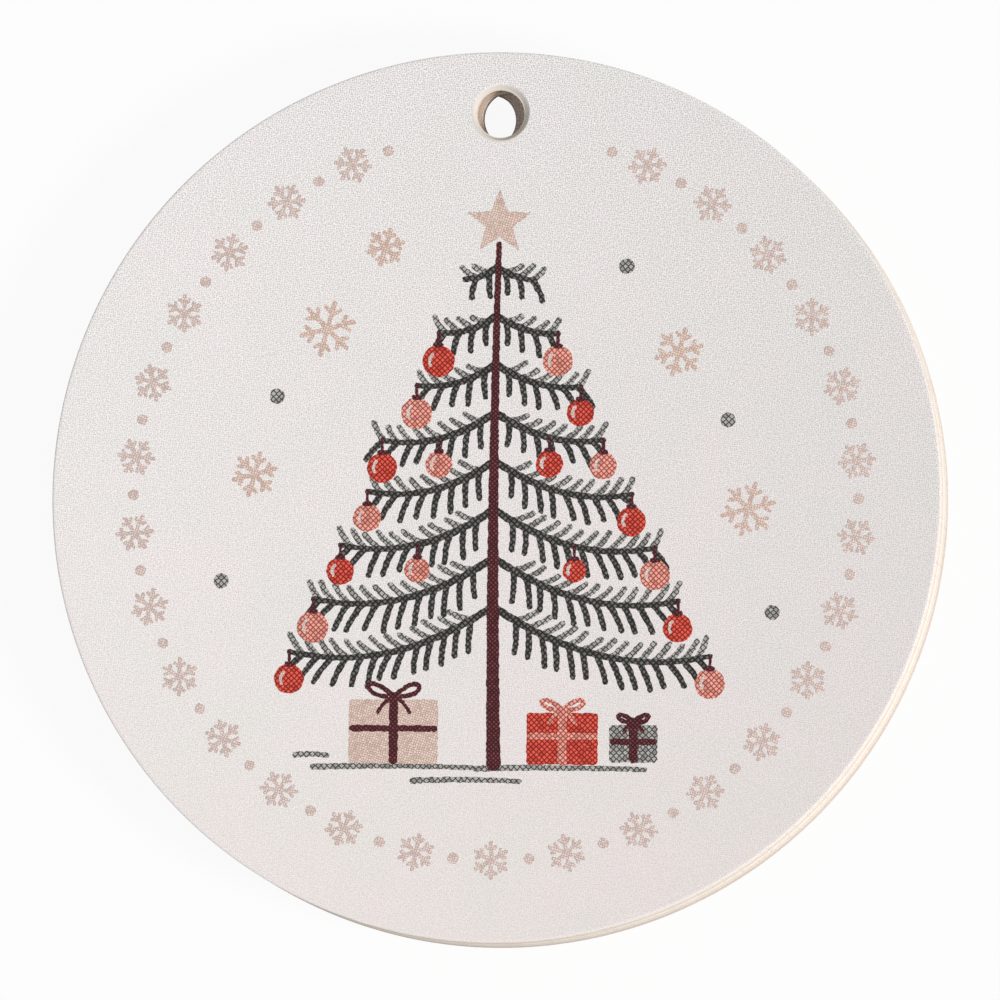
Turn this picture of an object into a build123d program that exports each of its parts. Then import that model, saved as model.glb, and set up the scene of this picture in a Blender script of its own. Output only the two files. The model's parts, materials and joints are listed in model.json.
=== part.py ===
"""Pack of three round gift tags, lying face up on one another.

Each tag is a thick board: a printed face sheet and a plain back sheet are pasted to a core board,
then rim and string hole are cut in one stroke. The cutting rule draws the face down at every cut: its
rim is rolled over the crushed board, the mouth of its hole dips, and the lower edges stay square. The
hollow punch is bevelled outside, so the string hole narrows from its mouth to a short straight bore.

Millimetres, +Z up. The origin is the middle of the underside of the lowest tag, and the string
holes lie towards +Y.
"""

import os

from build123d import *

# Outline of one tag
tag_diameter = 50.0
hole_to_rim = 3.4  # from the middle of the string hole to the rim

# Plies of one tag, in order from the face
face_sheet_thickness = 0.13
core_board_thickness = 1.3
back_sheet_thickness = 0.1

# Rolled edge that the cutting rule leaves round the face
roll_width = 0.2
roll_drop = 0.1

# String hole: the dip of its mouth, the throat where the face is cut, and the straight bore at the back
mouth_diameter = 3.1
mouth_drop = 0.2
throat_diameter = 2.86
bore_diameter = 2.52
bore_length = 0.8

# The loose pack: air and ink between two tags, and how far each tag is turned about the middle
tag_gap = 0.08
front_tag_turn = -0.45
middle_tag_turn = -0.65
rear_tag_turn = 1.9

tag_radius = tag_diameter / 2
mouth_radius = mouth_diameter / 2
throat_radius = throat_diameter / 2
bore_radius = bore_diameter / 2
hole_reach = tag_radius - hole_to_rim
core_bottom = back_sheet_thickness
core_top = core_bottom + core_board_thickness
face_top = core_top + face_sheet_thickness
tag_pitch = face_top + tag_gap
throat_level = face_top - mouth_drop
throat_taper = (throat_radius - bore_radius) / (throat_level - bore_length)
core_throat_radius = throat_radius - throat_taper * face_sheet_thickness


def blank(top, rolled):
    """Board up to a level, with the upper edge of its rim drawn down and no hole yet."""
    corners = [
        (tag_radius, 0, top - roll_drop),
        (tag_radius, 0, core_bottom),
        (0, 0, core_bottom),
        (0, 0, top),
        (tag_radius - roll_width, 0, top),
    ]
    if rolled:
        edge = TangentArc(corners[-1], corners[0], tangent=(1, 0, 0))
    else:
        edge = Line(corners[-1], corners[0])
    return revolve(make_face([Polyline(*corners), edge]), Axis.Z)


def round_the_hole(*corners):
    """A solid of revolution about the middle of the string hole; corners give reach and height."""
    outline = Polyline(*[(reach, 0, height) for reach, height in corners], close=True)
    return Pos(0, hole_reach, 0) * revolve(make_face(outline), Axis.Z)


def plies_of_a_tag():
    """The three plies of one tag, with the tag's underside at zero and its hole towards +Y."""
    string_hole = round_the_hole(
        (0, 0),
        (bore_radius, 0),
        (bore_radius, bore_length),
        (throat_radius, throat_level),
        (mouth_radius, face_top),
        (0, face_top),
    )
    dip_in_core = round_the_hole(
        (0, core_top),
        (mouth_radius, core_top),
        (core_throat_radius, core_top - mouth_drop),
        (0, core_top - mouth_drop),
    )
    core_board = blank(core_top, rolled=False) - string_hole - dip_in_core
    flat_sheet = Cylinder(tag_radius, back_sheet_thickness, align=(Align.CENTER, Align.CENTER, Align.MIN))
    return {
        "face_sheet": blank(face_top, rolled=True) - string_hole - core_board,
        "core_board": core_board,
        "back_sheet": flat_sheet - string_hole,
    }


# From the lowest tag to the one whose face shows
turns = {
    "rear_tag": rear_tag_turn,
    "middle_tag": middle_tag_turn,
    "front_tag": front_tag_turn,
}

os.makedirs("parts", exist_ok=True)
plies = plies_of_a_tag()
for level, (tag, turn) in enumerate(turns.items()):
    seat = Pos(0, 0, level * tag_pitch) * Rot(0, 0, turn)
    for ply, solid in plies.items():
        piece = seat * solid
        piece.label = f"{tag}_{ply}"
        export_step(piece, f"parts/{piece.label}.step")
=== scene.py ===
import json
import math
import random

import bmesh
import bpy
from mathutils import Matrix, Vector, noise


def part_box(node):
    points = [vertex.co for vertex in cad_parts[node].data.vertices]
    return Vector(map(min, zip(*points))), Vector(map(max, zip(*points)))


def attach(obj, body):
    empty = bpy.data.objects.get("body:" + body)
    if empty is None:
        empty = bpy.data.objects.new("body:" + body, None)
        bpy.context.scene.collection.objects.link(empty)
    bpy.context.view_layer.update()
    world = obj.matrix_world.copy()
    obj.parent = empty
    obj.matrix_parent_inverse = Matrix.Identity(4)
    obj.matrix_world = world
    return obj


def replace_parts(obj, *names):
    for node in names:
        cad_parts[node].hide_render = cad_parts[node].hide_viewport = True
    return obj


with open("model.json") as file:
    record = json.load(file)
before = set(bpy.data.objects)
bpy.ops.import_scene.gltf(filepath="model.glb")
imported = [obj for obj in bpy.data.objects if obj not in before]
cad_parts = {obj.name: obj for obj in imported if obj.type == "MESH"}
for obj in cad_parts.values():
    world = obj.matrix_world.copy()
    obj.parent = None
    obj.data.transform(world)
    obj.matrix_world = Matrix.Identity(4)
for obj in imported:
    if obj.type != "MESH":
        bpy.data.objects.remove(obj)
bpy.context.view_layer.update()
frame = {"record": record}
mm = 0.001
scene = bpy.context.scene
tagNames = ["rear", "middle", "front"]


# What the frame says of one tag: where it lies, how far it is turned, and its plies from its underside up
def readTag(name):
    hole = next(m for m in frame["record"]["mounts"] if m["name"] == f"{name}_string_hole")
    x, y, _ = hole["pos_m"]
    faceLow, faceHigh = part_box(f"{name}_tag_face_sheet")
    coreLow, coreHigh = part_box(f"{name}_tag_core_board")
    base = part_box(f"{name}_tag_back_sheet")[0].z
    return {
        "base": base,
        "turn": math.atan2(-x, y),
        "hole": Vector((x, y, 0)),
        "radius": (coreHigh.x - coreLow.x) / 2,
        "boreLength": hole["dims"]["length_mm"] * mm,
        "coreBottom": coreLow.z - base,
        "coreTop": coreHigh.z - base,
        "faceTop": faceHigh.z - base,
        "dip": faceLow.z - base,
    }


tags = {name: readTag(name) for name in tagNames}


# Node helpers
def newMaterial(name):
    material = bpy.data.materials.new(name)
    material.use_nodes = True
    return material, material.node_tree, material.node_tree.nodes["Principled BSDF"]


def newGroup(name, inputs, outputs):
    group = bpy.data.node_groups.new(name, "ShaderNodeTree")
    for socketName, value in inputs.items():
        socket = group.interface.new_socket(socketName, in_out="INPUT", socket_type="NodeSocketFloat")
        socket.default_value = value
    for socketName in outputs:
        group.interface.new_socket(socketName, in_out="OUTPUT", socket_type="NodeSocketFloat")
    return group, group.nodes.new("NodeGroupInput").outputs, group.nodes.new("NodeGroupOutput").inputs


def plug(tree, value, socket):
    if isinstance(value, bpy.types.NodeSocket):
        tree.links.new(value, socket)
    else:
        socket.default_value = value


def addNode(tree, kind, settings=None, **inputs):
    node = tree.nodes.new(kind)
    for key, value in (settings or {}).items():
        setattr(node, key, value)
    for key, value in inputs.items():
        plug(tree, value, node.inputs[key.replace("_", " ")])
    return node


def calc(tree, operation, *values):
    node = addNode(tree, "ShaderNodeMath", {"operation": operation})
    for value, socket in zip(values, node.inputs):
        plug(tree, value, socket)
    return node.outputs[0]


def useGroup(tree, group, **inputs):
    return addNode(tree, "ShaderNodeGroup", {"node_tree": group}, **inputs).outputs


def spread(tree, value, low, high, fromLow=0.0, fromHigh=1.0):
    facts = {"From_Min": fromLow, "From_Max": fromHigh, "To_Min": low, "To_Max": high}
    return addNode(tree, "ShaderNodeMapRange", Value=value, **facts).outputs[0]


def soften(tree, value, low, high, fromLow, fromHigh):
    facts = {"From_Min": fromLow, "From_Max": fromHigh, "To_Min": low, "To_Max": high}
    kind = {"interpolation_type": "SMOOTHSTEP"}
    return addNode(tree, "ShaderNodeMapRange", kind, Value=value, **facts).outputs[0]


def placeOf(tree):
    coords = addNode(tree, "ShaderNodeTexCoord").outputs["Object"]
    return addNode(tree, "ShaderNodeSeparateXYZ", Vector=coords).outputs


def mixColour(tree, factor, first, second, blend="MIX"):
    node = addNode(tree, "ShaderNodeMix", {"data_type": "RGBA", "blend_type": blend})
    for value, index in ((factor, 0), (first, 6), (second, 7)):
        plug(tree, value, node.inputs[index])
    return node.outputs[2]


# Roughness by tone, specular level and bump, as a look gives them
def addFinish(tree, shader, look, tone, height):
    tree.links.new(spread(tree, tone, *look["roughness"]), shader.inputs["Roughness"])
    shader.inputs["Specular IOR Level"].default_value = look["specular"]
    strength, distance = look["bump"]
    bump = addNode(tree, "ShaderNodeBump", Height=height, Strength=strength, Distance=distance)
    tree.links.new(bump.outputs[0], shader.inputs["Normal"])


def linearColour(*channels):
    def one(v):
        v /= 255
        return v / 12.92 if v <= 0.04045 else ((v + 0.055) / 1.055) ** 2.4

    return (*[one(v) for v in channels], 1.0)


# Rosette: the cells of a press screen. Heart is 1 where a cell is pale and 0 on the dark lines between
# the cells, which reach in as far as Line, and on a speck of strength Speck in its middle. Dot is 1 on a
# soft dot in each cell, and Chance differs by cell. The edges are soft, from and to these distances.
cellEdges = {"line": 0.02, "speck": (0.06, 0.2), "dot": (0.1, 0.4)}


def rosetteGroup():
    facts = {"Cells": 4300.0, "Turn": 0.785, "Ragged": 0.2, "Line": 0.4, "Speck": 0.0}
    group, given, result = newGroup("rosette", facts, ["Heart", "Dot", "Chance"])
    coords = addNode(group, "ShaderNodeTexCoord").outputs["Object"]
    turned = addNode(
        group, "ShaderNodeVectorRotate", {"rotation_type": "Z_AXIS"}, Vector=coords, Angle=given["Turn"]
    ).outputs[0]
    facts = {"Vector": turned, "Scale": given["Cells"], "Randomness": given["Ragged"]}
    flat = {"voronoi_dimensions": "2D"}
    edge = addNode(group, "ShaderNodeTexVoronoi", {**flat, "feature": "DISTANCE_TO_EDGE"}, **facts)
    cell = addNode(group, "ShaderNodeTexVoronoi", {**flat, "feature": "F1"}, **facts)
    lattice = soften(group, edge.outputs["Distance"], 0.0, 1.0, cellEdges["line"], given["Line"])
    speck = soften(group, cell.outputs["Distance"], given["Speck"], 0.0, *cellEdges["speck"])
    heart = calc(group, "MULTIPLY", lattice, calc(group, "SUBTRACT", 1.0, speck))
    chance = addNode(group, "ShaderNodeSeparateColor", Color=cell.outputs["Color"])
    dot = soften(group, cell.outputs["Distance"], 1.0, 0.0, *cellEdges["dot"])
    group.links.new(heart, result["Heart"])
    group.links.new(dot, result["Dot"])
    group.links.new(chance.outputs[0], result["Chance"])
    return group


# Paper tooth: the sheet's fine unevenness, as a tone about 0.5, a height and a broad cloud
def paperToothGroup():
    facts = {"Grain": 14000.0, "Cloud": 260.0}
    group, given, result = newGroup("paperTooth", facts, ["Tone", "Height", "Broad"])
    coords = addNode(group, "ShaderNodeTexCoord").outputs["Object"]
    fine = addNode(
        group, "ShaderNodeTexNoise", Vector=coords, Scale=given["Grain"], Detail=3.0, Roughness=0.6
    ).outputs[0]
    broad = addNode(group, "ShaderNodeTexNoise", Vector=coords, Scale=given["Cloud"], Detail=2.0).outputs[0]
    tone = calc(group, "MULTIPLY_ADD", fine, 0.9, calc(group, "MULTIPLY", broad, 0.1))
    group.links.new(tone, result["Tone"])
    group.links.new(fine, result["Height"])
    group.links.new(broad, result["Broad"])
    return group


# Cut fibre: the pulp layers that a cut through board lays bare, drawn out along the sheet, and dark specks
def cutFibreGroup():
    facts = {"Along": 900.0, "Across": 11000.0, "Specks": 4200.0}
    group, given, result = newGroup("cutFibre", facts, ["Tone", "Speck"])
    coords = addNode(group, "ShaderNodeTexCoord").outputs["Object"]
    scale = addNode(group, "ShaderNodeCombineXYZ", X=given["Along"], Y=given["Along"], Z=given["Across"])
    drawn = addNode(group, "ShaderNodeVectorMath", {"operation": "MULTIPLY"})
    group.links.new(coords, drawn.inputs[0])
    group.links.new(scale.outputs[0], drawn.inputs[1])
    layers = addNode(
        group, "ShaderNodeTexNoise", Vector=drawn.outputs[0], Scale=1.0, Detail=4.0, Roughness=0.65
    )
    group.links.new(layers.outputs[0], result["Tone"])
    grit = addNode(group, "ShaderNodeTexNoise", Vector=coords, Scale=given["Specks"], Detail=2.0).outputs[0]
    group.links.new(soften(group, grit, 0.0, 1.0, 0.56, 0.7), result["Speck"])
    return group


# Cut side: 1 on the sides that a cut leaves, 0 on the faces of a sheet
def cutSideGroup():
    group, _, result = newGroup("cutSide", {}, ["Side"])
    normal = addNode(group, "ShaderNodeTexCoord").outputs["Normal"]
    upright = calc(group, "ABSOLUTE", addNode(group, "ShaderNodeSeparateXYZ", Vector=normal).outputs["Z"])
    group.links.new(spread(group, upright, 1.0, 0.0, 0.35, 0.65), result["Side"])
    return group


rosette = rosetteGroup()
paperTooth = paperToothGroup()
cutFibre = cutFibreGroup()
cutSide = cutSideGroup()


# Face paper: white matt stock under a light tint, printed as two screens of fine dots. Painted shade makes
# the tint darker towards +X, and darker and pinker towards -Y, where the screens are fainter; it is clouded
# a little.
# Painted shade darkens the paper round each string hole: in the front one's mouth, and on the covered tags
# in the hole.
facePaperLook = {
    "bright": linearColour(255, 254, 253),
    "dull": linearColour(243, 241, 240),
    "toneSpan": (0.38, 0.62),
    "cloudSpan": (0.32, 0.68),
    "screens": (
        {"Cells": 8060.0, "Turn": 0.1, "Ragged": 0.5, "ink": linearColour(203, 211, 211)},
        {"Cells": 7200.0, "Turn": -0.4, "Ragged": 0.6, "ink": linearColour(227, 216, 218)},
    ),
    "screenStrength": (0.35, 1.0),
    # painted shade: the stock darker towards +X, and darker and pinker towards -Y
    "paintedShadeAlongX": (linearColour(255, 255, 255), linearColour(240, 239, 239)),
    "paintedShadeAndPinkAlongY": (linearColour(247, 242, 241), linearColour(255, 255, 255)),
    "cloudTint": (linearColour(253, 255, 254), linearColour(255, 253, 254)),
    "cut": linearColour(236, 225, 213),
    # painted shade round each string hole, darkest on the middle tag
    "darkening": {
        "rear": linearColour(210, 204, 200),
        "middle": linearColour(186, 166, 151),
        "front": linearColour(215, 207, 199),
    },
    # From the axis of the string hole, none to full
    "paintedShadeReach": {
        "rear": (2.0 * mm, 1.85 * mm),
        "middle": (1.9 * mm, 1.75 * mm),
        "front": (1.66 * mm, 1.56 * mm),
    },
    "roughness": (0.62, 0.8),
    "specular": 0.25,
    "bump": (0.5, 0.004 * mm),
}


# Colour of the tinted stock
def stockColour(tree, tooth):
    look = facePaperLook
    place = placeOf(tree)
    reach = tags["front"]["radius"]
    across = spread(tree, place["X"], 0, 1, -reach, reach)
    upward = spread(tree, place["Y"], 0, 1, -reach, reach)
    tone = spread(tree, tooth["Tone"], 0, 1, *look["toneSpan"])
    colour = mixColour(tree, tone, look["dull"], look["bright"])
    strength = spread(tree, upward, *look["screenStrength"])
    for screen in look["screens"]:
        facts = {key: value for key, value in screen.items() if key != "ink"}
        dots = useGroup(tree, rosette, **facts)
        inked = calc(tree, "MULTIPLY", dots["Dot"], strength)
        colour = mixColour(tree, inked, colour, screen["ink"], "MULTIPLY")
    drift = spread(tree, tooth["Broad"], 0, 1, *look["cloudSpan"])
    # painted shade towards +X and -Y, then the paper's own cloud tint
    for share, tint in ((across, "paintedShadeAlongX"), (upward, "paintedShadeAndPinkAlongY"), (drift, "cloudTint")):
        colour = mixColour(tree, 1.0, colour, mixColour(tree, share, *look[tint]), "MULTIPLY")
    return colour


# Distance from the axis of a tag's string hole
def fromHole(tree, tag):
    place = placeOf(tree)
    flat = addNode(tree, "ShaderNodeCombineXYZ", X=place["X"], Y=place["Y"]).outputs[0]
    reach = addNode(tree, "ShaderNodeVectorMath", {"operation": "DISTANCE"})
    tree.links.new(flat, reach.inputs[0])
    reach.inputs[1].default_value = tag["hole"]
    return reach.outputs["Value"]


def facePaperMaterial(tagName):
    look = facePaperLook
    material, tree, shader = newMaterial(f"{tagName}FacePaper")
    tooth = useGroup(tree, paperTooth)
    side = useGroup(tree, cutSide)["Side"]
    colour = mixColour(tree, side, stockColour(tree, tooth), look["cut"])
    # painted shade round the string hole
    darkening = spread(tree, fromHole(tree, tags[tagName]), 0.0, 1.0, *look["paintedShadeReach"][tagName])
    tree.links.new(mixColour(tree, darkening, colour, look["darkening"][tagName]), shader.inputs["Base Color"])
    addFinish(tree, shader, look, tooth["Tone"], tooth["Height"])
    return material


# Core board: creamy pulp in layers, with specks. The lowest tag is darker all over its edge and the others
# along their lower corner, less towards +Y. Hole walls have painted shade on the rear and front, painted
# light on the middle.
coreBoardLook = {
    "pale": linearColour(240, 234, 226),
    "deep": linearColour(223, 211, 198),
    "grain": 12000.0,
    "fibreShare": 0.65,  # the rest of the tone is grain
    "toneSpan": (0.36, 0.56),
    "tint": {
        "rear": linearColour(250, 250, 250),
        "middle": linearColour(255, 255, 255),
        "front": linearColour(252, 248, 248),
    },
    "darkening": linearColour(190, 173, 163),
    "darkeningHeight": {"rear": 5.0 * mm, "middle": 0.5 * mm, "front": 0.5 * mm},
    "darkeningPatches": (0.3, 1.0),
    "darkeningSpan": (0.38, 0.62),
    "darkeningFade": (1.0, 0.2, -2 * mm, 10 * mm),  # strengths, and the places along Y that have them
    "speck": linearColour(160, 140, 124),
    "speckStrength": 0.5,
    # painted shade on the hole walls of the rear and front tags, painted light on the middle's
    "paintedHoleTone": {
        "rear": linearColour(222, 210, 199),
        "middle": linearColour(246, 236, 226),
        "front": linearColour(222, 210, 199),
    },
    "paintedHoleReach": 1.9 * mm,  # from the axis of the string hole
    "roughness": (0.95, 0.82),
    "specular": 0.2,
    "bump": (0.6, 0.02 * mm),
}


def coreBoardMaterial(tagName):
    look, tag = coreBoardLook, tags[tagName]
    material, tree, shader = newMaterial(f"{tagName}CoreBoard")
    fibre = useGroup(tree, cutFibre)
    tooth = useGroup(tree, paperTooth, Grain=look["grain"])
    layers = calc(tree, "MULTIPLY", fibre["Tone"], look["fibreShare"])
    mixed = calc(tree, "MULTIPLY_ADD", tooth["Tone"], 1 - look["fibreShare"], layers)
    colour = mixColour(tree, spread(tree, mixed, 0, 1, *look["toneSpan"]), look["deep"], look["pale"])
    specks = calc(tree, "MULTIPLY", fibre["Speck"], look["speckStrength"])
    colour = mixColour(tree, specks, colour, look["speck"])
    colour = mixColour(tree, 1.0, colour, look["tint"][tagName], "MULTIPLY")
    place = placeOf(tree)
    # darker towards the bottom of the core, in patches, less towards +Y
    darkening = spread(tree, place["Z"], 1.0, 0.0, tag["coreBottom"], look["darkeningHeight"][tagName])
    patches = spread(tree, tooth["Tone"], *look["darkeningPatches"], *look["darkeningSpan"])
    for share in (patches, spread(tree, place["Y"], *look["darkeningFade"])):
        darkening = calc(tree, "MULTIPLY", darkening, share)
    colour = mixColour(tree, darkening, colour, look["darkening"])
    # painted shade and light on the walls of the string hole
    inHole = calc(tree, "LESS_THAN", fromHole(tree, tag), look["paintedHoleReach"])
    colour = mixColour(tree, inHole, colour, look["paintedHoleTone"][tagName])
    tree.links.new(colour, shader.inputs["Base Color"])
    addFinish(tree, shader, look, fibre["Tone"], fibre["Tone"])
    return material


# Back paper: plain off-white, with a coarser grain than the face
backPaperLook = {
    "pale": linearColour(246, 240, 231),
    "deep": linearColour(232, 222, 209),
    "cut": linearColour(214, 196, 176),
    "tooth": {"Grain": 5000.0, "Cloud": 160.0},
    "toneSpan": (0.35, 0.65),
    "roughness": (0.75, 0.92),
    "specular": 0.25,
    "bump": (0.5, 0.006 * mm),
}


def backPaperMaterial():
    look = backPaperLook
    material, tree, shader = newMaterial("backPaper")
    tooth = useGroup(tree, paperTooth, **look["tooth"])
    side = useGroup(tree, cutSide)["Side"]
    tone = spread(tree, tooth["Tone"], 0, 1, *look["toneSpan"])
    paper = mixColour(tree, tone, look["deep"], look["pale"])
    tree.links.new(mixColour(tree, side, paper, look["cut"]), shader.inputs["Base Color"])
    addFinish(tree, shader, look, tooth["Tone"], tooth["Height"])
    return material


# Boards: the three plies of each tag. The cutting rule rolls the face's rim and crushes the paper down
# into the mouth of the string hole. Radii and slips of the holes are in millimetres. A hole slips from the
# axis of its mount only so far that the mount's bore stays clear, and a mouth slips from its throat.
board = {
    "rollWidth": 0.2 * mm,
    "rollDrop": 0.1 * mm,
    "rollShoulder": 3.4,  # 2 gives an ellipse, more a squarer edge
    "holes": {
        "rear": {"mouth": 1.62, "throat": 1.52, "bore": 1.5, "slip": (-0.14, -0.13)},
        "middle": {"mouth": 1.62, "throat": 1.52, "bore": 1.5, "slip": (0.195, -0.125)},
        "front": {"mouth": 1.6, "throat": 1.33, "bore": 1.44, "slip": (-0.03, -0.06)},
    },
    "mouthSlip": {"rear": (0, 0), "middle": (0, 0), "front": (0.05, 0.1)},
    "mouthShelf": 0.22,  # level share of the crushed paper, at the throat
    "mouthFold": 0.04,  # share at each end of the slope, where it bends
    "foldFalls": (0.02, 0.97),
    "mouthCrush": 1.3,  # depth of the face of the paper in the mouth, against the core's
    "arcSteps": 7,
    "rimSteps": 320,
    "holeSteps": 96,
    "flatMargin": 0.06 * mm,  # flat strip beside a roll, which keeps its shading off the face
    "sharpDeg": 40,
    "pulpLayers": 8,
    "fray": 0.014 * mm,
    "frayGrain": (1.3, 14.0),  # along the cut and up it
    "fraySeedStep": 37.0,
    "faceFray": 0.6,
    "pulpFray": (0.3, 1.0),  # where a layer begins, and in its middle
    "backFray": 0.4,
}
for tagName, facts in board["holes"].items():
    tags[tagName]["hole"] += Vector((*facts["slip"], 0)) * mm
    tags[tagName]["mouthSlip"] = Vector((*board["mouthSlip"][tagName], 0)) * mm
    for part in ("mouth", "throat", "bore"):
        tags[tagName][part] = facts[part] * mm


# Insets and falls of the face's rim, which leaves the flat face and is drawn down as a quarter superellipse
def rolledRim():
    steps, power = board["arcSteps"], 2 / board["rollShoulder"]
    turns = [math.pi / 2 * i / steps for i in range(steps + 1)]
    width, drop = board["rollWidth"], board["rollDrop"]
    return [(width * (1 - math.sin(a) ** power), drop * (1 - abs(math.cos(a)) ** power)) for a in turns]


# Radii and falls of the paper in the mouth of the hole: fold, slope, and a level shelf at the throat
def crushedMouth(tag, drop):
    wide, slope = tag["mouth"] - tag["throat"], 1 - board["mouthShelf"]
    fold, (firstFall, lastFall) = board["mouthFold"], board["foldFalls"]
    bends = ((0, 0), (fold, firstFall), (slope - fold, lastFall), (slope, 1), (1, 1))
    return [(tag["mouth"] - wide * share, drop * fall) for share, fall in bends]


# Radius of the core's hole where the cut edge of the face paper ends
def coreThroat(tag):
    drop = tag["coreTop"] - tag["dip"]
    taper = (tag["throat"] - tag["bore"]) / (tag["faceTop"] - drop - tag["boreLength"])
    return tag["throat"] - taper * (tag["faceTop"] - tag["coreTop"])


# Each profile is a list of (radius, level, fray) from the upper face over the cut to the lower face
def faceSheetProfiles(tag):
    top, under, margin = tag["faceTop"], tag["coreTop"], board["flatMargin"]
    width, drop = board["rollWidth"], board["rollDrop"]
    edge, mouth, fray = tag["radius"], tag["mouth"], board["faceFray"]
    rim = [(edge - width - margin, top, 0)]
    rim += [(edge - inset, top - fall, 0) for inset, fall in rolledRim()]
    rim += [(edge, under - drop, fray), (edge - width, under, 0), (edge - width - margin, under, 0)]
    hole = [(mouth + margin, top, 0)]
    press = (under - tag["dip"]) * board["mouthCrush"]
    hole += [(radius, top - fall, 0) for radius, fall in crushedMouth(tag, press)]
    hole += [(coreThroat(tag), tag["dip"], fray), (mouth, under, 0), (mouth + margin, under, 0)]
    return rim, hole


# Wall of torn pulp layers between two (radius, level) points
def pulpWall(start, end, layers):
    count = layers * 2
    wall = []
    for k in range(count + 1):
        radius, level = [a + (b - a) * k / count for a, b in zip(start, end)]
        wall.append((radius, level, board["pulpFray"][k % 2]))
    return wall


def coreBoardProfiles(tag):
    top, low, margin = tag["coreTop"], tag["coreBottom"], board["flatMargin"]
    edge, width, mouth, bore = tag["radius"], board["rollWidth"], tag["mouth"], tag["bore"]
    rim = [(edge - width - margin, top, 0), (edge - width, top, 0)]
    rim += pulpWall((edge, top - board["rollDrop"]), (edge, low), board["pulpLayers"])
    rim += [(edge - margin, low, 0)]
    boreTop = (bore, tag["boreLength"])
    hole = [(mouth + margin, top, 0), (mouth, top, 0)]
    hole += pulpWall((coreThroat(tag), tag["dip"]), boreTop, board["pulpLayers"] // 2)[:-1]
    hole += pulpWall(boreTop, (bore, low), board["pulpLayers"] // 2) + [(bore + margin, low, 0)]
    return rim, hole


def backSheetProfiles(tag):
    top, edge, bore = tag["coreBottom"], tag["radius"], tag["bore"]
    margin, fray = board["flatMargin"], board["backFray"]
    rim = [(edge - margin, top, 0), (edge, top, fray), (edge, 0, fray), (edge - margin, 0, 0)]
    hole = [(bore + margin, top, 0), (bore, top, fray), (bore, 0, fray), (bore + margin, 0, 0)]
    return rim, hole


# Closed mesh of a ply: its rim and hole swept round, and its two faces filled in between
def plyMesh(name, tag, profiles, seed):
    form = bmesh.new()
    middle = Vector()
    grainAlong, grainUp = board["frayGrain"]

    def loopOf(centre, sign, count, point):
        radius, level, fray = point
        if centre != middle:
            share = (radius - tag["throat"]) / (tag["mouth"] - tag["throat"])
            centre = centre + tag["mouthSlip"] * min(max(share, 0), 1)
        verts = []
        for i in range(count):
            angle = 2 * math.pi * i / count
            way = Vector((math.cos(angle), math.sin(angle), 0))
            spot = way * (radius / mm * grainAlong) + Vector((0, 0, level / mm * grainUp + seed))
            frayed = fray * board["fray"] * (0.5 + 0.5 * noise.noise(spot))
            verts.append(form.verts.new(centre + way * (radius + sign * frayed) + Vector((0, 0, level))))
        return verts

    rims = [loopOf(middle, -1, board["rimSteps"], point) for point in profiles[0]]
    holes = [loopOf(tag["hole"], 1, board["holeSteps"], point) for point in profiles[1]]
    for loops in (rims, holes):
        for upper, lower in zip(loops, loops[1:]):
            for i in range(len(upper)):
                form.faces.new((upper[i - 1], upper[i], lower[i], lower[i - 1]))
    for k in (0, -1):
        edges = []
        for loop in (rims[k], holes[k]):
            edges += [form.edges.get((loop[i], loop[i - 1])) for i in range(len(loop))]
        bmesh.ops.triangle_fill(form, edges=edges, use_beauty=True)
    bmesh.ops.recalc_face_normals(form, faces=form.faces)
    mesh = bpy.data.meshes.new(name)
    form.to_mesh(mesh)
    form.free()
    mesh.shade_smooth()
    mesh.set_sharp_from_angle(angle=math.radians(board["sharpDeg"]))
    return mesh


def addPiece(name, mesh, tagName, turn=0.0):
    piece = bpy.data.objects.new(name, mesh)
    scene.collection.objects.link(piece)
    piece.matrix_world = Matrix.Translation((0, 0, tags[tagName]["base"])) @ Matrix.Rotation(turn, 4, "Z")
    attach(piece, f"{tagName}_tag")
    return piece


plies = {
    "face_sheet": {
        "profiles": faceSheetProfiles,
        "slot": "face_paper",
        "materials": {name: facePaperMaterial(name) for name in tagNames},
    },
    "core_board": {
        "profiles": coreBoardProfiles,
        "slot": "core_board",
        "materials": {name: coreBoardMaterial(name) for name in tagNames},
    },
    "back_sheet": {
        "profiles": backSheetProfiles,
        "slot": "back_paper",
        "materials": dict.fromkeys(tagNames, backPaperMaterial()),
    },
}
for level, tagName in enumerate(tagNames):
    tag = tags[tagName]
    for ply, facts in plies.items():
        node = f"{tagName}_tag_{ply}"
        mesh = plyMesh(node + "_ply", tag, facts["profiles"](tag), level * board["fraySeedStep"])
        mesh.materials.append(facts["materials"][tagName])
        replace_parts(addPiece(node + "_ply", mesh, tagName), node)
print("boards built:", len(tagNames) * len(plies), "plies")


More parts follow.
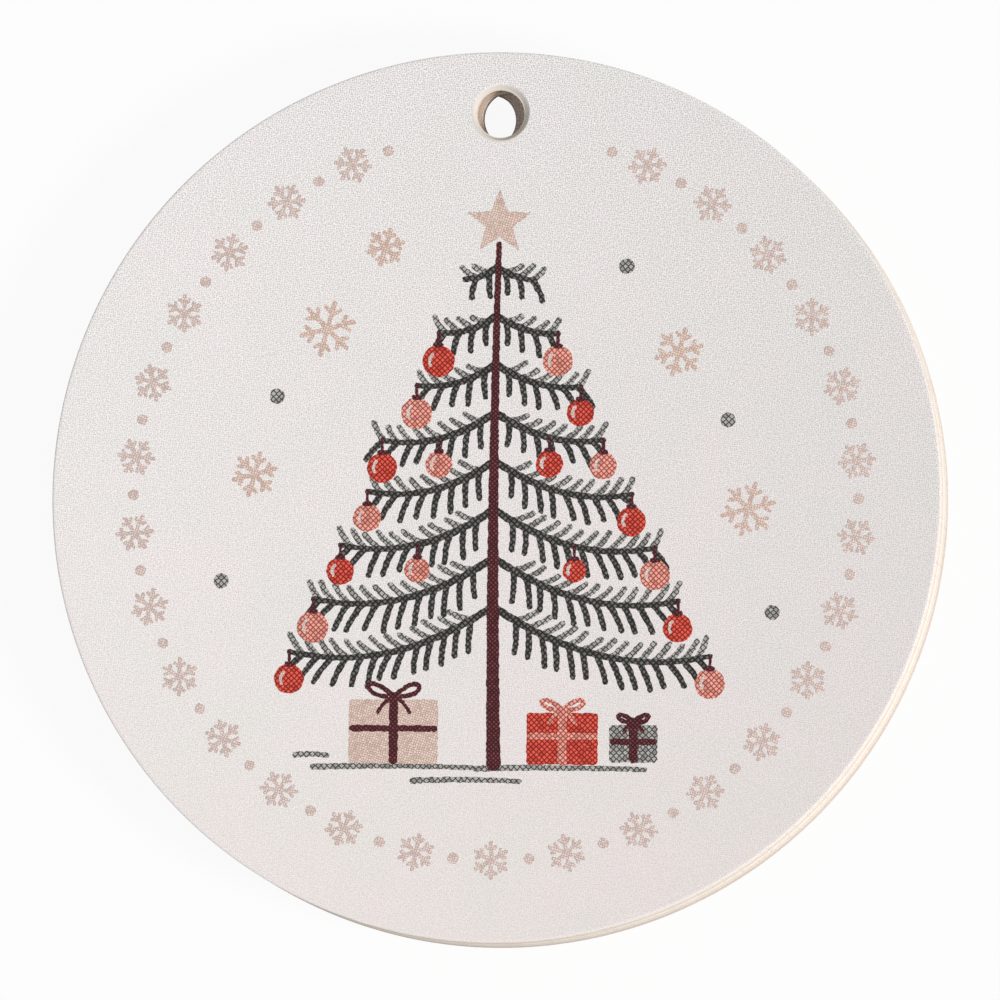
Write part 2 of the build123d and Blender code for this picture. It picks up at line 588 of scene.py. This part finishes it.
# Print: a decorated winter tree over gift boxes, in a ring of snow crystals. Sizes are millimetres on the
# tag, from its middle, with the string hole towards +Y. Each ink has the colours of its dark lines and pale
# hearts, its press screen, and the height of its film.
inks = {
    "greyGreenInk": {
        "line": linearColour(40, 39, 37),
        "heart": linearColour(188, 186, 182),
        "screen": {"Cells": 4300.0, "Line": 0.28, "Speck": 0.55, "Ragged": 0.28},
        "film": 0.006,
    },
    "charcoalInk": {
        "line": linearColour(8, 8, 6),
        "heart": linearColour(110, 108, 104),
        "screen": {"Cells": 4200.0},
        "film": 0.008,
    },
    "beigeInk": {
        "line": linearColour(166, 140, 129),
        "heart": linearColour(236, 213, 202),
        "screen": {"Cells": 7400.0, "Turn": 0.3, "Ragged": 0.6, "Line": 0.22},
        "film": 0.010,
    },
    "redInk": {
        "line": linearColour(114, 4, 2),
        "heart": linearColour(230, 95, 79),
        "screen": {"Cells": 4700.0, "Line": 0.29, "Ragged": 0.25},
        "film": 0.012,
    },
    "coralInk": {
        "line": linearColour(130, 54, 42),
        "heart": linearColour(246, 170, 156),
        "screen": {"Cells": 4700.0, "Line": 0.26, "Ragged": 0.25},
        "film": 0.014,
    },
    "burgundyInk": {
        "line": linearColour(34, 0, 4),
        "heart": linearColour(122, 62, 68),
        "screen": {"Cells": 5600.0, "Ragged": 0.3},
        "film": 0.016,
    },
    "roseInk": {
        "line": linearColour(170, 150, 144),
        "heart": linearColour(233, 216, 210),
        "screen": {"Cells": 7400.0, "Turn": 0.3, "Ragged": 0.6, "Line": 0.22},
        "film": 0.018,
    },
}
inkLook = {
    "paleByCell": (0.55, 1.25),
    "edgeStep": 0.14,
    "edgeDepth": 0.03,
    "roughness": (0.55, 0.75),
    "specular": 0.2,
    "bump": (0.4, 0.003 * mm),
}
shapes = {ink: [] for ink in inks}
hand = random.Random(11)


def disc(x, y, radius, steps=28):
    turns = [2 * math.pi * i / steps for i in range(steps)]
    return [(x + radius * math.cos(a), y + radius * math.sin(a)) for a in turns]


# Points along a Bezier curve
def curve(*points, steps=10):
    line = []
    for k in range(steps + 1):
        level = [Vector(p) for p in points]
        while len(level) > 1:
            level = [a.lerp(b, k / steps) for a, b in zip(level, level[1:])]
        line.append((level[0].x, level[0].y))
    return line


# Outline of a pen stroke with round ends
def stroke(line, startWidth, endWidth=None, capSteps=7):
    endWidth = startWidth if endWidth is None else endWidth
    left, right, last = [], [], len(line) - 1
    for i, (x, y) in enumerate(line):
        ax, ay = line[max(i - 1, 0)]
        bx, by = line[min(i + 1, last)]
        way = math.atan2(by - ay, bx - ax)
        half = (startWidth + (endWidth - startWidth) * i / last) / 2
        left.append((x - half * math.sin(way), y + half * math.cos(way)))
        right.append((x + half * math.sin(way), y - half * math.cos(way)))

    def cap(spot, fromPoint):
        start = math.atan2(fromPoint[1] - spot[1], fromPoint[0] - spot[0])
        radius = math.hypot(fromPoint[0] - spot[0], fromPoint[1] - spot[1])
        turns = [start - math.pi * k / capSteps for k in range(1, capSteps)]
        return [(spot[0] + radius * math.cos(a), spot[1] + radius * math.sin(a)) for a in turns]

    return left + cap(line[-1], left[-1]) + right[::-1] + cap(line[0], right[0])


def star(x, y, outer, inner, points):
    outline = []
    for k in range(points * 2):
        radius = inner if k % 2 else outer
        angle = math.pi / 2 + math.pi * k / points
        outline.append((x + radius * math.cos(angle), y + radius * math.sin(angle)))
    return outline


# Fir: boughs in tiers on a trunk, with needles below and above each bough, baubles and a star
fir = {
    "top": 12.9,
    "ground": -15.0,
    "trunkRise": 1.3,
    "trunkBow": -0.3,
    "trunkFoot": 0.05,
    "trunkWidth": (0.3, 0.8),
    "tiers": 8,
    "tierStep": 2.72,
    "shortest": 1.9,
    "longest": 11.8,
    "boughDraw": (0.95, 1.05),  # each draw is a range of chance
    "boughRoot": -0.1,
    "boughSag": 0.34,
    "boughFall": (0.2, 0.3),  # of the tip, by reach and in all
    "boughWidth": (0.44, 0.3),
    # Side of the bough, length, lean in degrees and ink
    "needles": ((-1, 1.7, 60, "charcoalInk"), (1, 1.3, 50, "greyGreenInk")),
    "firstNeedle": 0.3,
    "needleStep": 0.82,
    "needleDraw": (0.88, 1.08),
    "needleSwayDeg": (-5, 5),
    "needleBow": -0.12,
    "needleWidth": (0.36, 0.32),
    "needleShare": (0.75, 0.25),  # length in the top tier, and what the lowest adds
    "tipBaubleDraw": (0.92, 1.1),
    "innerBaubles": (3, 5),  # tiers with one half way along, too
    "innerBaubleDraw": (0.8, 0.95),
    "starRise": 2.5,
    "star": (1.9, 0.78, 5),
}
bauble = {
    "radius": 0.82,
    "thread": 0.7,
    "threadWidth": 0.17,
    "capHalf": 0.14,
    "capWidth": 0.28,
    "shineReach": 0.58,
    "shineDeg": (130, 211, 16),
    "shineWidth": 0.17,
}


def drawNeedles(line, side, dense):
    run, placed = 0.0, fir["firstNeedle"]
    for (ax, ay), (bx, by) in zip(line, line[1:]):
        length = math.hypot(bx - ax, by - ay)
        way = math.atan2(by - ay, bx - ax)
        while placed <= run + length:
            share = (placed - run) / length
            x, y = ax + (bx - ax) * share, ay + (by - ay) * share
            for up, reach, lean, ink in fir["needles"]:
                angle = way + side * up * math.radians(lean + hand.uniform(*fir["needleSwayDeg"]))
                long = reach * hand.uniform(*fir["needleDraw"]) * dense
                wayX, wayY = math.cos(angle), math.sin(angle)
                end = (x + long * wayX, y + long * wayY)
                bow = side * up * fir["needleBow"]
                middle = ((x + end[0]) / 2 - bow * wayY, (y + end[1]) / 2 + bow * wayX)
                shapes[ink].append(stroke(curve((x, y), middle, end, steps=5), *fir["needleWidth"]))
            placed += fir["needleStep"]
        run += length


# A bauble on a thread, with a cap and a pale arc of light
def drawBauble(x, y, ink, size):
    radius = bauble["radius"] * size
    low = y - bauble["thread"] - radius
    cap = [(x + side * bauble["capHalf"], low + radius) for side in (-1, 1)]
    shapes["burgundyInk"].append(stroke([(x, y), (x, low + radius)], bauble["threadWidth"]))
    shapes["burgundyInk"].append(stroke(cap, bauble["capWidth"]))
    shapes[ink].append(disc(x, low, radius))
    inner = bauble["shineReach"] * radius
    shine = [math.radians(a) for a in range(*bauble["shineDeg"])]
    arc = [(x + inner * math.cos(a), low + inner * math.sin(a)) for a in shine]
    shapes["roseInk"].append(stroke(arc, bauble["shineWidth"]))


def drawTree():
    boughs = []
    peak, foot = (0, fir["top"] + fir["trunkRise"]), (fir["trunkFoot"], fir["ground"])
    trunk = curve(peak, (fir["trunkBow"], 0), foot, steps=16)
    shapes["burgundyInk"].append(stroke(trunk, *fir["trunkWidth"]))
    fallByReach, fallInAll = fir["boughFall"]
    leastNeedle, addedNeedle = fir["needleShare"]
    for tier in range(fir["tiers"]):
        share = tier / (fir["tiers"] - 1)
        y = fir["top"] - tier * fir["tierStep"]
        for side in (-1, 1):
            reach = fir["shortest"] + (fir["longest"] - fir["shortest"]) * share
            reach *= hand.uniform(*fir["boughDraw"])
            tip = (side * reach, y - reach * fallByReach - fallInAll)
            sag = (side * reach / 2, y - reach * fir["boughSag"])
            line = curve((fir["boughRoot"], y), sag, tip, steps=12)
            shapes["charcoalInk"].append(stroke(line, *fir["boughWidth"]))
            drawNeedles(line[1:], side, leastNeedle + addedNeedle * share)
            boughs.append((line, tier, side))
    for line, tier, side in boughs:
        tipInk, innerInk = ("redInk", "coralInk") if (tier + (side > 0)) % 2 else ("coralInk", "redInk")
        if tier:
            drawBauble(*line[-1], tipInk, hand.uniform(*fir["tipBaubleDraw"]))
        if tier in fir["innerBaubles"]:
            drawBauble(*line[len(line) // 2], innerInk, hand.uniform(*fir["innerBaubleDraw"]))
    shapes["beigeInk"].append(star(0, fir["top"] + fir["starRise"], *fir["star"]))


# Gifts: boxes with rounded corners, each tied with a ribbon and a bow
gift = {
    "corner": 0.18,
    "ribbonInset": 0.2,
    "uprightWidth": 0.5,
    "bandWidth": 0.36,
    "bandLevel": 0.55,
    "bowRise": 0.15,
    "bowShare": 3.2,  # height of the box against the size of its bow
    "bowWidth": 0.26,
    "tailWidth": 0.2,
    "bowDip": 0.1,
}
# Middle and foot, width and height, inks of box and ribbon
gifts = (
    (-5.6, fir["ground"], 5.0, 3.6, "beigeInk", "burgundyInk"),
    (3.9, fir["ground"], 4.0, 2.9, "redInk", "coralInk"),
    (7.9, fir["ground"] + 0.15, 2.7, 2.1, "greyGreenInk", "burgundyInk"),
)


def drawBow(x, y, size, ink):
    wide = gift["bowWidth"]
    for side in (-1, 1):
        outer = [(x + side * 1.5 * size, y + 1.5 * size), (x + side * 1.9 * size, y - gift["bowDip"])]
        loop = curve((x, y), *outer, (x, y), steps=14)
        shapes[ink].append(stroke(loop[:-1], wide))
        fall = [(x + side * 0.5 * size, y - 0.2 * size), (x + side * 0.8 * size, y - 0.8 * size)]
        tail = curve((x, y), *fall, steps=6)
        shapes[ink].append(stroke(tail, wide, gift["tailWidth"]))
    shapes[ink].append(disc(x, y, wide, 14))


def drawGift(x, y, wide, high, boxInk, ribbonInk):
    corner, inset = gift["corner"], gift["ribbonInset"]
    outline = []
    for sideX, sideY, start in ((1, 1, 0), (-1, 1, 90), (-1, -1, 180), (1, -1, 270)):
        cornerX = x + sideX * (wide / 2 - corner)
        cornerY = y + high / 2 + sideY * (high / 2 - corner)
        for step in range(4):
            angle = math.radians(start + 30 * step)
            outline.append((cornerX + corner * math.cos(angle), cornerY + corner * math.sin(angle)))
    shapes[boxInk].append(outline)
    shapes[ribbonInk].append(stroke([(x, y + inset), (x, y + high - inset)], gift["uprightWidth"]))
    left, right, level = x - wide / 2 + inset, x + wide / 2 - inset, y + high * gift["bandLevel"]
    shapes[ribbonInk].append(stroke([(left, level), (right, level)], gift["bandWidth"]))
    drawBow(x, y + high + gift["bowRise"], high / gift["bowShare"], ribbonInk)


# Ground: strokes under the tree, by middle, fall below its foot and length
ground = {
    "strokes": ((-5.6, 0.2, 9.0), (3.8, 0.25, 9.5), (-1.5, 0.95, 6.0), (-10.2, -0.45, 1.8)),
    "bow": 0.15,
    "width": (0.34, 0.28),
}


def drawGround():
    for x, fall, long in ground["strokes"]:
        y = fir["ground"] - fall
        line = curve((x - long / 2, y), (x, y + ground["bow"]), (x + long / 2, y), steps=8)
        shapes["greyGreenInk"].append(stroke(line, *ground["width"]))


# Snow: crystals and dots about the tree, and a ring of both along the rim, open at the string hole
snow = {
    "fork": 0.55,
    "arm": 0.36,
    "armLeanDeg": 50,
    "armWidth": 0.85,
    # Place and radius
    "crystals": (
        (-9.6, 9.4, 1.5),
        (10.2, 8.2, 1.3),
        (-13.6, 1.2, 1.2),
        (14.2, -0.6, 1.45),
        (-6.4, 14.0, 1.0),
    ),
    "crystalWidth": 0.26,
    "crystalTurn": 0.26,
    "dots": ((-12.4, 5.6), (13.0, 4.4), (7.2, 13.0), (-15.4, -4.8), (15.6, -6.4)),
    "dotRadius": 0.42,
    "ring": 20.4,
    "ringStepDeg": 6,
    "openDeg": 14,  # to each side of the string hole
    "ringDot": 0.3,
    "ringCrystal": 0.98,
    "ringWidth": 0.22,
}


def crystal(x, y, radius, width, turn):
    outlines = []
    for k in range(6):
        angle = turn + math.pi * k / 3
        wayX, wayY = math.cos(angle), math.sin(angle)
        outlines.append(stroke([(x, y), (x + radius * wayX, y + radius * wayY)], width))
        fork, arm = radius * snow["fork"], radius * snow["arm"]
        forkX, forkY = x + fork * wayX, y + fork * wayY
        for side in (-1, 1):
            lean = angle + side * math.radians(snow["armLeanDeg"])
            end = (forkX + arm * math.cos(lean), forkY + arm * math.sin(lean))
            outlines.append(stroke([(forkX, forkY), end], width * snow["armWidth"]))
    return outlines


def drawSnow():
    for x, y, size in snow["crystals"]:
        shapes["beigeInk"].extend(crystal(x, y, size, snow["crystalWidth"], snow["crystalTurn"]))
    for x, y in snow["dots"]:
        shapes["greyGreenInk"].append(disc(x, y, snow["dotRadius"], 18))
    for k in range(360 // snow["ringStepDeg"]):
        turned = k * snow["ringStepDeg"]
        if min(turned, 360 - turned) < snow["openDeg"]:
            continue
        angle = math.radians(90 + turned)
        x, y = snow["ring"] * math.cos(angle), snow["ring"] * math.sin(angle)
        if k % 2:
            shapes["roseInk"].append(disc(x, y, snow["ringDot"], 16))
        else:
            shapes["roseInk"].extend(crystal(x, y, snow["ringCrystal"], snow["ringWidth"], angle))


drawTree()
for facts in gifts:
    drawGift(*facts)
drawGround()
drawSnow()


def inkMaterial(ink):
    material, tree, shader = newMaterial(ink)
    tooth = useGroup(tree, paperTooth)
    dots = useGroup(tree, rosette, **inks[ink]["screen"])
    pale = calc(tree, "MULTIPLY", dots["Heart"], spread(tree, dots["Chance"], *inkLook["paleByCell"]))
    colour = mixColour(tree, pale, inks[ink]["line"], inks[ink]["heart"])
    tree.links.new(colour, shader.inputs["Base Color"])
    addFinish(tree, shader, inkLook, tooth["Tone"], tooth["Height"])
    return material


# Outline broken up by the dots of the press screen, in metres
def raggedOutline(outline):
    broken = []
    for (ax, ay), (bx, by) in zip(outline, outline[1:] + outline[:1]):
        parts = max(1, round(math.hypot(bx - ax, by - ay) / inkLook["edgeStep"]))
        for k in range(parts):
            spot = (ax + (bx - ax) * k / parts, ay + (by - ay) * k / parts)
            broken.append([(v + hand.uniform(-1, 1) * inkLook["edgeDepth"]) * mm for v in spot])
    return broken


# Closed film of ink
def filmMesh(ink):
    form = bmesh.new()
    low = tags["front"]["faceTop"]
    high = low + inks[ink]["film"] * mm
    for outline in shapes[ink]:
        ragged = raggedOutline(outline)
        upper = [form.verts.new((x, y, high)) for x, y in ragged]
        lower = [form.verts.new((x, y, low)) for x, y in ragged]
        form.faces.new(upper)
        form.faces.new(lower[::-1])
        for i in range(len(ragged)):
            form.faces.new((upper[i - 1], lower[i - 1], lower[i], upper[i]))
    bmesh.ops.recalc_face_normals(form, faces=form.faces)
    mesh = bpy.data.meshes.new(ink + "_film")
    form.to_mesh(mesh)
    form.free()
    mesh.materials.append(inkMaterial(ink))
    return mesh


for ink in inks:
    film = filmMesh(ink)
    for tagName in tagNames:
        addPiece(f"{tagName}_tag_{ink}", film, tagName, tags[tagName]["turn"])
print("print laid:", sum(len(s) for s in shapes.values()), "shapes in", len(inks), "inks on each tag")


# Stage: pale floor, white to the eye, which still takes the pack's shadow, under a plain sky and one lamp
stage = {
    "floorHalf": 1.5,
    "floorDrop": 0.02 * mm,
    "floorMatt": 0.7,
    "floorGlow": 0.93,  # share of white in the floor as it is seen
    "skyLight": 0.42,
}


def seenDirectly(tree):
    path = tree.nodes.new("ShaderNodeLightPath").outputs
    seen = calc(tree, "MAXIMUM", path["Is Camera Ray"], path["Is Glossy Ray"])
    return calc(tree, "MAXIMUM", seen, path["Is Transmission Ray"])


def addFloor():
    half, matt = stage["floorHalf"], stage["floorMatt"]
    mesh = bpy.data.meshes.new("floor")
    corners = [(-half, -half, 0), (half, -half, 0), (half, half, 0), (-half, half, 0)]
    mesh.from_pydata(corners, [], [(0, 1, 2, 3)])
    floor = bpy.data.objects.new("floor", mesh)
    scene.collection.objects.link(floor)
    floor.location.z = -stage["floorDrop"]
    material = bpy.data.materials.new("floorWhite")
    material.use_nodes = True
    tree = material.node_tree
    tree.nodes.clear()
    output = tree.nodes.new("ShaderNodeOutputMaterial")
    paint = addNode(tree, "ShaderNodeBsdfDiffuse", Color=(matt, matt, matt, 1))
    glow = addNode(tree, "ShaderNodeEmission", Color=(1, 1, 1, 1), Strength=1.0)
    share = calc(tree, "MULTIPLY", seenDirectly(tree), stage["floorGlow"])
    mixed = addNode(tree, "ShaderNodeMixShader", Fac=share)
    tree.links.new(paint.outputs[0], mixed.inputs[1])
    tree.links.new(glow.outputs[0], mixed.inputs[2])
    tree.links.new(mixed.outputs[0], output.inputs[0])
    mesh.materials.append(material)


def addWorld():
    world = bpy.data.worlds.new("studio")
    world.use_nodes = True
    scene.world = world
    tree = world.node_tree
    sky = tree.nodes["Background"]
    sky.inputs["Color"].default_value = (1, 1, 1, 1)
    tree.links.new(spread(tree, seenDirectly(tree), stage["skyLight"], 1.0), sky.inputs["Strength"])


softbox = {
    "azimuthDeg": -20,
    "elevationDeg": 40,
    "distance": 2.0,
    "size": 0.6,
    "power": 36.7,
    "colour": (1.0, 0.985, 0.965),
}


def addSoftbox(name):
    lamp = bpy.data.lights.new(name, "AREA")
    lamp.shape = "DISK"
    lamp.size = softbox["size"]
    lamp.energy = softbox["power"]
    lamp.color = softbox["colour"]
    light = bpy.data.objects.new(name, lamp)
    scene.collection.objects.link(light)
    turn, rise = math.radians(softbox["azimuthDeg"]), math.radians(softbox["elevationDeg"])
    way = Vector((math.cos(rise) * math.cos(turn), math.cos(rise) * math.sin(turn), math.sin(rise)))
    light.location = way * softbox["distance"]
    light.rotation_mode = "QUATERNION"
    light.rotation_quaternion = (-way).to_track_quat("-Z", "Y")


addFloor()
addWorld()
addSoftbox("keySoftbox")
print("stage set: floor, sky and one softbox")


# Camera: almost face on, leaning to the lower right, where the cut edges show
camera = {
    "distance": 2.0,
    "leanDeg": 7.2,
    "towardDeg": -37.0,
    "rollDeg": 0.3,
    "sensor": 36.0,
    "imageWide": 1000,
    "discRadiusPx": 446.5,
    "discCentrePx": (496.0, 497.0),
}


def addCamera():
    front = tags["front"]
    lean, toward = math.radians(camera["leanDeg"]), math.radians(camera["towardDeg"])
    back = Vector((math.sin(lean) * math.cos(toward), math.sin(lean) * math.sin(toward), math.cos(lean)))
    level = Matrix.Rotation(math.radians(camera["rollDeg"]), 3, "Z") @ Vector((0, 1, 0))
    right = level.cross(back).normalized()
    up = back.cross(right)
    perPixel = front["radius"] / camera["discRadiusPx"]
    half = camera["imageWide"] / 2
    aim = Vector((0, 0, front["base"] + front["faceTop"]))
    across, down = [(half - centre) * perPixel for centre in camera["discCentrePx"]]
    aim += right * across - up * down
    lens = bpy.data.cameras.new("camera")
    lens.sensor_width = camera["sensor"]
    lens.lens = camera["sensor"] * camera["distance"] / (perPixel * camera["imageWide"])
    eye = bpy.data.objects.new("camera", lens)
    scene.collection.objects.link(eye)
    turn = Matrix((right, up, back)).transposed().to_4x4()
    eye.matrix_world = Matrix.Translation(aim + back * camera["distance"]) @ turn
    scene.camera = eye


addCamera()
scene.view_settings.view_transform = "Standard"
